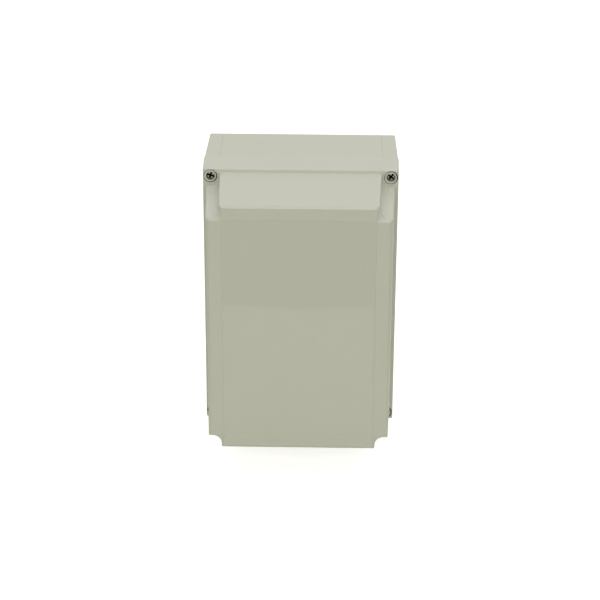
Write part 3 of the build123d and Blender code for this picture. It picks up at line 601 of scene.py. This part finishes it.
@dataclass(frozen=True)
class CappedCeramic:
    """Glazed steatite tube of a fuse link, with nickel-plated brass caps pressed over its two ends."""

    body: str = "EFECE4"
    cap: str = "C9C5BA"
    plain_half_mm: float = 9.5
    grain_mm: float = 0.4
    grain_strength: float = 0.12
    grain_relief_mm: float = 0.03

    def make(self) -> bpy.types.Material:
        """Builds the material, whose caps start at their distance from the links' middle.

        Returns:
            The finished material.
        """
        material, tree = new_material("steatite_with_nickel_caps")
        place = object_place(tree)
        axes = add_node(tree, "ShaderNodeSeparateXYZ", inputs={"Vector": place})
        off = add_node(tree, "ShaderNodeMath", {"operation": "SUBTRACT"},
                       {0: axes.outputs["Z"], 1: middle_of("fuse_link_1")[0].z})
        reach = add_node(tree, "ShaderNodeMath", {"operation": "ABSOLUTE"}, {0: off.outputs[0]})
        capped = add_node(tree, "ShaderNodeMath", {"operation": "GREATER_THAN"},
                          {0: reach.outputs[0], 1: self.plain_half_mm * MM})
        colour = add_node(tree, "ShaderNodeMix", {"data_type": "RGBA"},
                          {"Factor": capped.outputs[0], 6: linear_colour(self.body),
                           7: linear_colour(self.cap)})
        grain = add_node(tree, "ShaderNodeTexNoise", inputs={"Vector": place, "Detail": 3.0,
                                                             "Scale": 1 / (self.grain_mm * MM)})
        rough = add_node(tree, "ShaderNodeMapRange", inputs={"Value": grain.outputs["Fac"],
                                                             "To Min": 0.2, "To Max": 0.34})
        bump = add_node(tree, "ShaderNodeBump",
                        inputs={"Strength": self.grain_strength, "Distance": self.grain_relief_mm * MM,
                                "Height": grain.outputs["Fac"]})
        shader = add_node(tree, "ShaderNodeBsdfPrincipled",
                          inputs={"Base Color": colour.outputs[2], "Metallic": capped.outputs[0],
                                  "Roughness": rough.outputs["Result"], "Normal": bump.outputs["Normal"]})
        finish_surface(tree, shader)
        return material


@dataclass(frozen=True)
class PlatedMetal:
    """Metal part: zinc-plated sheet, rolled rail, turned brass or a headed steel screw.

    Rolling leaves fine lines along one axis, so the grain is stretched along it.
    """

    name: str
    colour: str
    tarnish: str
    roughness: float = 0.3
    grain_mm: float = 0.4
    grain_strength: float = 0.2
    grain_relief_mm: float = 0.02
    cloud_mm: float = 11.0
    run: GrainRun = GrainRun.EVEN

    def make(self) -> bpy.types.Material:
        """Builds the material.

        Returns:
            The finished material.
        """
        material, tree = new_material(self.name)
        place = object_place(tree)
        lines = add_node(tree, "ShaderNodeMapping", inputs={"Vector": place, "Scale": self.run.value})
        grain = add_node(tree, "ShaderNodeTexNoise", inputs={"Vector": lines.outputs["Vector"], "Detail": 3.0,
                                                             "Scale": 1 / (self.grain_mm * MM)})
        cloud = add_node(tree, "ShaderNodeTexNoise", inputs={"Vector": place, "Detail": 5.0,
                                                             "Scale": 1 / (self.cloud_mm * MM)})
        colour = add_node(tree, "ShaderNodeMix", {"data_type": "RGBA"},
                          {"Factor": cloud.outputs["Fac"], 6: linear_colour(self.colour),
                           7: linear_colour(self.tarnish)})
        rough = add_node(tree, "ShaderNodeMapRange", inputs={"Value": cloud.outputs["Fac"],
                                                             "To Min": self.roughness - 0.06,
                                                             "To Max": self.roughness + 0.12})
        bump = add_node(tree, "ShaderNodeBump",
                        inputs={"Strength": self.grain_strength, "Distance": self.grain_relief_mm * MM,
                                "Height": grain.outputs["Fac"]})
        shader = add_node(tree, "ShaderNodeBsdfPrincipled",
                          inputs={"Base Color": colour.outputs[2], "Metallic": 1.0,
                                  "Roughness": rough.outputs["Result"], "Normal": bump.outputs["Normal"]})
        finish_surface(tree, shader)
        return material


# the two halves of the enclosure come from two moulds: the base's colour is a shade browner
COVER_FINISH = MouldedPolycarbonate("polycarbonate_cover", "C9CAB9", "C7C8B7", panel=PolishedPanel(),
                                    burnt_spot_mm=(-6.9, -174.6, 96.0))
BASE_FINISH = MouldedPolycarbonate("polycarbonate_base", "C8C8B6", "C6C6B4", parting_shade=PartingLineShade(),
                                   burnt_spot_mm=(-40.3, -24.0, 127.0), burnt_spot_radius_mm=2.2)
SCREW_FINISH = PlatedMetal("steel_screw_dull", "B4B4A8", "8F8F83", 0.42)
# painted shade: the driver recess is coloured near black to stand in for the shade deep in the cross
RECESS_PAINTED_SHADE = PlatedMetal("steel_recess_painted_shade", "262623", "191918", 0.6)

FINISHES = {
    "sleeve_plastic": MouldedPlastic("polycarbonate_sleeve", "CFD0C4", 0.4),
    "gasket_rubber": MouldedPlastic("foamed_rubber_gasket", "1B1B1A", 0.85, 0.9),
    "screw_steel": SCREW_FINISH,
    "insert_brass": PlatedMetal("turned_brass", "D8B670", "B58F4A", 0.28),
    "plate_steel": PlatedMetal("zinc_plated_sheet", "C9CDD0", "A9AEB3", 0.34, 0.6, run=GrainRun.ALONG_X),
    "rail_steel": PlatedMetal("zinc_plated_rail", "D2D0C4", "B3B09F", 0.26, 0.5, run=GrainRun.ALONG_X),
    "fixing_steel": PlatedMetal("zinc_plated_screw", "C4C4BC", "98988F", 0.3),
    "stop_plastic": MouldedPlastic("nylon_dark_grey", "5A5C5F", 0.5),
    "device_plastic": MouldedPlastic("thermoplastic_device_grey", "D9D9D4", 0.42),
    "carrier_plastic": MouldedPlastic("thermoplastic_carrier_grey", "B9BBB9", 0.4),
    "fuse_ceramic": CappedCeramic(),
    "contact_copper": PlatedMetal("tinned_copper", "D9B79A", "B98B6C", 0.3),
    "toggle_plastic": MouldedPlastic("thermoplastic_black", "1D1E20", 0.3),
    "module_plastic": MouldedPlastic("thermoplastic_orange", "D2571B", 0.4),
    "earth_plastic": MouldedPlastic("nylon_green", "4E8F2A", 0.5),
    "busbar_plastic": MouldedPlastic("busbar_insulation_grey", "6E7174", 0.4),
    "lead_red": MouldedPlastic("wire_insulation_red", "B8261B", 0.35, 0.8),
    "lead_black": MouldedPlastic("wire_insulation_black", "1A1A1B", 0.35, 0.8),
    "lead_green_yellow": TwoColourInsulation(),
    "gland_nylon": MouldedPlastic("nylon_black", "262728", 0.45),
    "gland_rubber": MouldedPlastic("neoprene_rubber", "171717", 0.8, 0.9),
}


# ---- camera and studio -----------------------------------------------------------------------------
def outward(azimuth: float, elevation: float) -> Vector:
    """Gives the direction from the object to a place round it.

    Args:
        azimuth: degrees to the right of straight in front.
        elevation: degrees above level.

    Returns:
        The unit vector.
    """
    turn, lift = math.radians(azimuth), math.radians(elevation)
    return Vector((math.sin(turn) * math.cos(lift), -math.cos(turn) * math.cos(lift), math.sin(lift)))


@dataclass(frozen=True)
class StudioCamera:
    """Long lens that looks down on the front of the box. Lengths are in millimetres."""

    lens: float = 114.97
    sensor: float = 36.0
    target: Place = (-0.37, -80.0, -11.9)
    distance: float = 1816.4
    elevation: float = 24.06
    azimuth: float = 0.91
    roll: float = 0.29

    def place(self) -> None:
        """Makes the scene's camera."""
        data = bpy.data.cameras.new("studio_camera")
        data.lens = self.lens
        data.sensor_width = self.sensor
        camera = bpy.data.objects.new("studio_camera", data)
        bpy.context.scene.collection.objects.link(camera)
        back = outward(self.azimuth, self.elevation)
        right = (-back).cross(Vector((0, 0, 1))).normalized()
        level = Matrix((right, right.cross(-back), back)).transposed()
        camera.rotation_mode = "QUATERNION"
        tilt = Matrix.Rotation(math.radians(self.roll), 3, "Z")
        camera.rotation_quaternion = (level @ tilt).to_quaternion()
        camera.location = (Vector(self.target) + back * self.distance) * MM
        bpy.context.scene.camera = camera


@dataclass(frozen=True)
class Softbox:
    """One square soft lamp, aimed at the box from an azimuth and an elevation in degrees."""

    name: str
    azimuth: float
    elevation: float
    watts: float
    side: float = 1.2
    distance: float = 2.4

    def hang(self, aim: Vector) -> None:
        """Hangs the lamp round the place that it lights.

        Args:
            aim: that place, in metres.
        """
        data = bpy.data.lights.new(self.name, "AREA")
        data.size = self.side
        data.energy = self.watts
        lamp = bpy.data.objects.new(self.name, data)
        bpy.context.scene.collection.objects.link(lamp)
        lamp.visible_camera = False
        towards = outward(self.azimuth, self.elevation)
        lamp.location = aim + towards * self.distance
        lamp.rotation_mode = "QUATERNION"
        lamp.rotation_quaternion = towards.to_track_quat("Z", "Y")


@dataclass(frozen=True)
class Studio:
    """White table in a white room, lit by four softboxes. Lengths are in metres."""

    floor_level: float
    floor_size: float = 8.0
    table_front: float = -0.556
    table_half_width: float = 0.3
    mirrored_table: float = 0.49
    mirrored_sides: float = 0.1
    mirrored_back: float = 0.33
    floor_glow: float = 0.75
    room_light: float = 0.24
    aim: Place = (0.0, -0.1, 0.0)
    softboxes: tuple[Softbox, ...] = (
        Softbox("overhead_softbox", 180.0, 80.0, 10.8),
        Softbox("front_softbox", 0.0, 24.0, 17.7),
        Softbox("right_softbox", 90.0, 60.0, 10.8),
        Softbox("left_softbox", -90.0, 60.0, 9.6),
    )

    def build(self) -> None:
        """Makes the floor, the room and the lamps."""
        self._floor()
        self._room()
        for softbox in self.softboxes:
            softbox.hang(Vector(self.aim))
        bpy.context.scene.view_settings.view_transform = "Standard"

    def _floor(self) -> None:
        """Makes a large pale floor that shows white, keeps the object's shadow and is clear from below."""
        bpy.ops.mesh.primitive_plane_add(size=self.floor_size, location=(0, 0, self.floor_level))
        floor = bpy.context.object
        floor.name = "studio_floor"
        settle(floor)
        material, tree = new_material("floor_paper_white")
        paper = add_node(tree, "ShaderNodeBsdfDiffuse", inputs={"Color": linear_colour("E8E7DA")})
        rays = add_node(tree, "ShaderNodeLightPath")
        seen = add_node(tree, "ShaderNodeMath", {"operation": "MAXIMUM"},
                        {0: rays.outputs["Is Camera Ray"], 1: rays.outputs["Is Transmission Ray"]})
        shown = add_node(tree, "ShaderNodeMath", {"operation": "MULTIPLY"},
                         {0: seen.outputs[0], 1: self.floor_glow})
        strength = add_node(tree, "ShaderNodeMath", {"operation": "MULTIPLY_ADD"},
                            {0: self._mirrored(tree), 1: rays.outputs["Is Glossy Ray"], 2: shown.outputs[0]})
        glow = add_node(tree, "ShaderNodeEmission", inputs={"Color": linear_colour("FFFFFF"),
                                                            "Strength": strength.outputs[0]})
        top = add_node(tree, "ShaderNodeAddShader", inputs={0: paper.outputs[0], 1: glow.outputs[0]})
        below = add_node(tree, "ShaderNodeNewGeometry").outputs["Backfacing"]
        clear = add_node(tree, "ShaderNodeBsdfTransparent")
        finish_surface(tree, add_node(tree, "ShaderNodeMixShader",
                                      inputs={"Fac": below, 1: top.outputs[0], 2: clear.outputs[0]}))
        dress(floor, material)
        floor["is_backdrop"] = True

    def _mirrored(self, tree: bpy.types.NodeTree) -> bpy.types.NodeSocket:
        """Gives how bright the floor is in a glossy surface: bright on the table, dark beyond its front.

        Args:
            tree: the floor material's node tree.

        Returns:
            The socket with the brightness.
        """
        axes = add_node(tree, "ShaderNodeSeparateXYZ", inputs={"Vector": object_place(tree)})
        reach = add_node(tree, "ShaderNodeMath", {"operation": "ABSOLUTE"}, {0: axes.outputs["X"]})
        on_table = add_node(tree, "ShaderNodeMath", {"operation": "LESS_THAN"},
                            {0: reach.outputs[0], 1: self.table_half_width})
        across = add_node(tree, "ShaderNodeMapRange",
                          inputs={"Value": on_table.outputs[0], "To Min": self.mirrored_sides,
                                  "To Max": self.mirrored_table})
        in_front = add_node(tree, "ShaderNodeMath", {"operation": "LESS_THAN"},
                            {0: axes.outputs["Y"], 1: 0.0})
        level = add_node(tree, "ShaderNodeMix", {"data_type": "FLOAT"},
                         {"Factor": in_front.outputs[0], 2: self.mirrored_back, 3: across.outputs["Result"]})
        short = add_node(tree, "ShaderNodeMath", {"operation": "GREATER_THAN"},
                         {0: axes.outputs["Y"], 1: self.table_front})
        return add_node(tree, "ShaderNodeMath", {"operation": "MULTIPLY"},
                        {0: level.outputs[0], 1: short.outputs[0]}).outputs[0]

    def _room(self) -> None:
        """Lights the scene evenly, and shows white where an eye or a mirror looks past the floor."""
        world = bpy.data.worlds.new("studio_room")
        bpy.context.scene.world = world
        world.use_nodes = True
        tree = world.node_tree
        tree.nodes.clear()
        rays = add_node(tree, "ShaderNodeLightPath")
        seen = rays.outputs["Is Camera Ray"]
        for kind in ("Is Glossy Ray", "Is Transmission Ray"):
            seen = add_node(tree, "ShaderNodeMath", {"operation": "MAXIMUM"},
                            {0: seen, 1: rays.outputs[kind]}).outputs[0]
        strength = add_node(tree, "ShaderNodeMapRange",
                            inputs={"Value": seen, "To Min": self.room_light, "To Max": 1.0})
        light = add_node(tree, "ShaderNodeBackground", inputs={"Color": linear_colour("FFFFFF"),
                                                               "Strength": strength.outputs["Result"]})
        add_node(tree, "ShaderNodeOutputWorld", inputs={"Surface": light.outputs[0]})


# ---- carried-over parts ----------------------------------------------------------------------------
@dataclass(frozen=True)
class EdgeRounding:
    """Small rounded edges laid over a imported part, as a mould or a press leaves them. Angles in degrees."""

    width_mm: float
    segments: int = 2
    sharper_than: float = 40.0
    merge_mm: float = 0.001
    flatter_than: float = 0.3

    def add_to(self, node: bpy.types.Object) -> None:
        """Adds the modifiers that merge, clean and round the part's edges.

        Args:
            node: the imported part.
        """
        weld = node.modifiers.new("merge_points", "WELD")
        weld.merge_threshold = self.merge_mm * MM
        flat = node.modifiers.new("join_flat_faces", "DECIMATE")
        flat.decimate_type = "DISSOLVE"
        flat.angle_limit = math.radians(self.flatter_than)
        bevel = node.modifiers.new("round_edges", "BEVEL")
        bevel.width = self.width_mm * MM
        bevel.segments = self.segments
        bevel.limit_method = "ANGLE"
        bevel.angle_limit = math.radians(self.sharper_than)
        bevel.harden_normals = True
        bevel.use_clamp_overlap = True


# how much each part is rounded, with the starts of its nodes' names
ROUNDED = {
    EdgeRounding(0.2): ("mounting_plate", "din_rail_"),
    EdgeRounding(0.25): ("comb_busbar_",),
    EdgeRounding(0.3): ("fuse_carrier_", "breaker_toggle", "gland_nut_"),
    EdgeRounding(0.35): ("rail_stops", "fuse_base_", "breaker_body", "spd_base", "spd_module_",
                         "earth_terminal_1", "earth_terminal_2"),
    EdgeRounding(0.4, 3): ("gland_bodies", "gland_locknuts"),
}


@dataclass(frozen=True)
class CarriedParts:
    """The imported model's own nodes, each with the finish of its material slot."""

    frame: dict

    def dress_all(self) -> None:
        """Gives every node its finish and its rounded edges."""
        made = {slot: finish.make() for slot, finish in FINISHES.items()}
        halves = {"enclosure_cover": COVER_FINISH.make(), "enclosure_base": BASE_FINISH.make()}
        for entry in self.frame["record"]["subparts"]:
            name = entry["node"]
            node = self.frame["nodes"][name]
            dress(node, halves[name] if name in halves else made[entry["material_slot"]])
            for rounding, starts in ROUNDED.items():
                if name.startswith(starts):
                    rounding.add_to(node)
            LOG.info("dressed %s in %s", name, entry["material_slot"])


# ---- cover screws ----------------------------------------------------------------------------------
@dataclass(frozen=True)
class CoverScrews:
    """Four captive cross-head screws, modelled once along Y with the head's front at the origin.

    Lengths are in millimetres. The thread is drawn as rings at its real pitch.
    """

    count: int = 4
    head_height: float = 3.5
    rim: float = 1.0
    rim_steps: int = 5
    shank_radius: float = 1.9
    thread_pitch: float = 0.7
    thread_depth: float = 0.3
    threaded: float = 21.0
    cross_length: float = 7.0
    cross_width: float = 2.0
    cross_depth: float = 3.1
    cross_above: float = 0.5
    taper: float = 0.42
    turns: tuple[float, ...] = (17.0, 35.0, 64.0, 25.0)

    def build(self) -> None:
        """Models one screw and sets down a turned copy in each place."""
        _, low, high = middle_of("cover_screw_1")
        radius, length = (high.x - low.x) / 2, high.y - low.y
        model = self._head(radius)
        self._shank(model, radius, length)
        for wing in (0.0, 90.0):
            cut(model, self._wing(wing))
        smooth(model)
        for number in range(1, self.count + 1):
            name = f"cover_screw_{number}"
            middle, low, _ = middle_of(name)
            turn = math.radians(self.turns[number - 1])
            screw = own_copy(model, f"{name}_piece", Vector((middle.x, low.y, middle.z)), turn)
            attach(screw, name)
            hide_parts(name)
            LOG.info("made %s", screw.name)
        bpy.data.objects.remove(model)

    def _head(self, radius: float) -> bpy.types.Object:
        """Makes the head as a short cylinder with a rounded rim.

        Args:
            radius: the head's radius, in metres.

        Returns:
            The head, in the screw's finish.
        """
        deep = self.head_height * MM
        bpy.ops.mesh.primitive_cylinder_add(vertices=64, radius=radius, depth=deep, location=(0, deep / 2, 0),
                                            rotation=(math.pi / 2, 0, 0))
        head = bpy.context.object
        settle(head)
        dress(head, SCREW_FINISH.make())
        with editing(head):
            pick_edges(head, lambda a, b: max(a.y, b.y) < 0.1 * MM)
            bpy.ops.mesh.bevel(offset=self.rim * MM, segments=self.rim_steps, affect="EDGES")
        return head

    def _shank(self, screw: bpy.types.Object, radius: float, length: float) -> None:
        """Draws the shank and its thread out of the head's back.

        Args:
            screw: the piece with the finished head.
            radius: the head's radius, in metres.
            length: the whole screw's length, in metres.
        """
        back = self.head_height * MM
        plain = length - back - self.threaded * MM
        root = (self.shank_radius - self.thread_depth) / self.shank_radius
        half_pitch = self.thread_pitch * MM / 2
        with editing(screw):
            pick_faces(screw, lambda middle, normal: normal.y > 0.9 and middle.y > back - 0.1 * MM)
            bpy.ops.mesh.inset(thickness=radius - self.shank_radius * MM)
            bpy.ops.mesh.extrude_region_move(TRANSFORM_OT_translate={"value": (0, plain, 0)})
            for ring in range(round(self.threaded * MM / half_pitch)):
                factor = root if ring % 2 == 0 else 1 / root
                bpy.ops.mesh.extrude_region_move(TRANSFORM_OT_translate={"value": (0, half_pitch, 0)})
                bpy.ops.transform.resize(value=(factor, 1, factor), center_override=(0, 0, 0))

    def _wing(self, quarter: float) -> bpy.types.Object:
        """Makes the cutter for one bar of the cross, which narrows towards its floor.

        Args:
            quarter: the bar's turn about the screw's axis, in degrees.

        Returns:
            The cutter.
        """
        above = self.cross_above * MM
        deep = self.cross_depth * MM + above
        bpy.ops.mesh.primitive_cube_add(size=1, location=(0, deep / 2 - above, 0),
                                        scale=(self.cross_length * MM, deep, self.cross_width * MM))
        wing = bpy.context.object
        settle(wing)
        # the cutter's near-black material stays on the recess walls as painted shade
        dress(wing, RECESS_PAINTED_SHADE.make())
        with editing(wing):
            pick_faces(wing, lambda middle, normal: normal.y > 0.9)
            bpy.ops.transform.resize(value=(self.taper, 1, self.taper), center_override=(0, deep - above, 0))
        wing.data.transform(Matrix.Rotation(math.radians(quarter), 4, "Y"))
        return wing


# ---- small device details --------------------------------------------------------------------------
@dataclass(frozen=True)
class StatusWindows:
    """Clear green window over the status flag of each pull-out arrester module. Millimetres."""

    count: int = 3
    width: float = 5.6
    height: float = 3.6
    thickness: float = 0.5
    sunk: float = 0.25
    above_middle: float = 8.0
    rim: float = 0.6
    pane_sunk: float = 0.2
    rounding: float = 0.18

    def build(self) -> None:
        """Models one window with a raised rim and copies it into each module's pocket."""
        bpy.ops.mesh.primitive_cube_add(size=1, location=(0, self.thickness * MM / 2, 0),
                                        scale=(self.width * MM, self.thickness * MM, self.height * MM))
        model = bpy.context.object
        settle(model)
        dress(model, MouldedPlastic("polycarbonate_window_green", "2FA84A", 0.14, 2.0).make())
        with editing(model):
            pick_faces(model, lambda middle, normal: normal.y < -0.9)
            bpy.ops.mesh.inset(thickness=self.rim * MM)
            bpy.ops.transform.translate(value=(0, self.pane_sunk * MM, 0))
            bpy.ops.mesh.select_all(action="SELECT")
            bpy.ops.mesh.bevel(offset=self.rounding * MM, segments=2, affect="EDGES")
        smooth(model)
        for number in range(1, self.count + 1):
            middle, low, _ = middle_of(f"spd_module_{number}")
            place = Vector((middle.x, low.y + self.sunk * MM, middle.z + self.above_middle * MM))
            window = own_copy(model, f"status_window_{number}", place)
            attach(window, f"spd_module_{number}")
            LOG.info("made %s", window.name)
        bpy.data.objects.remove(model)


@dataclass(frozen=True)
class FuseLamps:
    """Small red lens of the blown-fuse lamp in each fuse carrier's front. Millimetres."""

    count: int = 4
    radius: float = 1.3
    proud: float = 0.6
    lip: float = 3.0
    above_middle: float = 9.6
    ring: float = 0.25
    collar_depth: float = 0.12
    dome_steps: tuple[float, ...] = (0.16, 0.1, 0.05)

    def build(self) -> None:
        """Models one domed lens with a collar and copies it onto each carrier."""
        deep = 2 * self.proud * MM
        bpy.ops.mesh.primitive_cylinder_add(vertices=32, radius=self.radius * MM, depth=deep,
                                            rotation=(math.pi / 2, 0, 0))
        model = bpy.context.object
        settle(model)
        dress(model, MouldedPlastic("polycarbonate_lens_red", "B4201A", 0.1, 2.0).make())
        with editing(model):
            pick_faces(model, lambda middle, normal: normal.y < -0.9)
            bpy.ops.mesh.inset(thickness=self.ring * MM)
            bpy.ops.mesh.extrude_region_move(TRANSFORM_OT_translate={"value": (0, self.collar_depth * MM, 0)})
            for step in self.dome_steps:
                bpy.ops.mesh.inset(thickness=self.ring * MM)
                bpy.ops.transform.translate(value=(0, -step * MM, 0))
        smooth(model)
        for number in range(1, self.count + 1):
            middle, low, _ = middle_of(f"fuse_carrier_{number}")
            row = middle_of(f"fuse_base_{number}")[0].z
            place = Vector((middle.x, low.y + self.lip * MM, row + self.above_middle * MM))
            lens = own_copy(model, f"fuse_lamp_{number}", place)
            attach(lens, f"fuse_carrier_{number}")
            LOG.info("made %s", lens.name)
        bpy.data.objects.remove(model)


@dataclass(frozen=True)
class PoleMarks:
    """Raised I and O on the breaker's nose, above and below each pole's lever. Millimetres."""

    poles: int = 4
    bar_width: float = 0.8
    bar_height: float = 3.4
    ring_radius: float = 1.7
    ring_width: float = 0.6
    proud: float = 0.15
    depth: float = 0.4
    softening: float = 0.1
    off_middle: float = 16.5

    def build(self) -> None:
        """Models the two marks and copies each to every pole."""
        finish = FINISHES["toggle_plastic"].make()
        middle, low, high = middle_of("breaker_body")
        pitch = (high.x - low.x) / self.poles
        for name, model, side in (("on_mark", self._bar(), 1), ("off_mark", self._ring(), -1)):
            dress(model, finish)
            smooth(model)
            for pole in range(self.poles):
                place = Vector((low.x + pitch * (pole + 0.5), low.y - self.proud * MM,
                                middle.z + side * self.off_middle * MM))
                mark = own_copy(model, f"{name}_{pole + 1}", place)
                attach(mark, "enclosure")
            bpy.data.objects.remove(model)
            LOG.info("made %s on %d poles", name, self.poles)

    def _bar(self) -> bpy.types.Object:
        """Makes the bar of the I with softened edges.

        Returns:
            The bar, round the origin.
        """
        bpy.ops.mesh.primitive_cube_add(size=1, location=(0, self.depth * MM / 2, 0),
                                        scale=(self.bar_width * MM, self.depth * MM, self.bar_height * MM))
        bar = bpy.context.object
        settle(bar)
        with editing(bar):
            bpy.ops.mesh.select_all(action="SELECT")
            bpy.ops.mesh.bevel(offset=self.softening * MM, segments=2, affect="EDGES")
        return bar

    def _ring(self) -> bpy.types.Object:
        """Makes the ring of the O from a disc with its middle bridged away.

        Returns:
            The ring, round the origin.
        """
        deep = self.depth * MM
        bpy.ops.mesh.primitive_cylinder_add(vertices=32, radius=self.ring_radius * MM, depth=deep,
                                            location=(0, deep / 2, 0), rotation=(math.pi / 2, 0, 0))
        ring = bpy.context.object
        settle(ring)
        with editing(ring):
            pick_faces(ring, lambda middle, normal: abs(normal.y) > 0.9)
            bpy.ops.mesh.inset(thickness=self.ring_width * MM)
            bpy.ops.mesh.bridge_edge_loops()
            bpy.ops.mesh.select_all(action="SELECT")
            bpy.ops.mesh.normals_make_consistent(inside=False)
        return ring


def main() -> None:
    """Builds the whole scene in order."""
    logging.basicConfig(level=logging.INFO, format="%(message)s")
    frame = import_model()
    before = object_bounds()
    bpy.ops.object.select_all(action="DESELECT")
    StudioCamera().place()
    Studio(floor_level=before[0].z).build()
    CarriedParts(frame).dress_all()
    for group in (CoverScrews(), StatusWindows(), FuseLamps(), PoleMarks()):
        group.build()


if __name__ == "__main__":
    main()
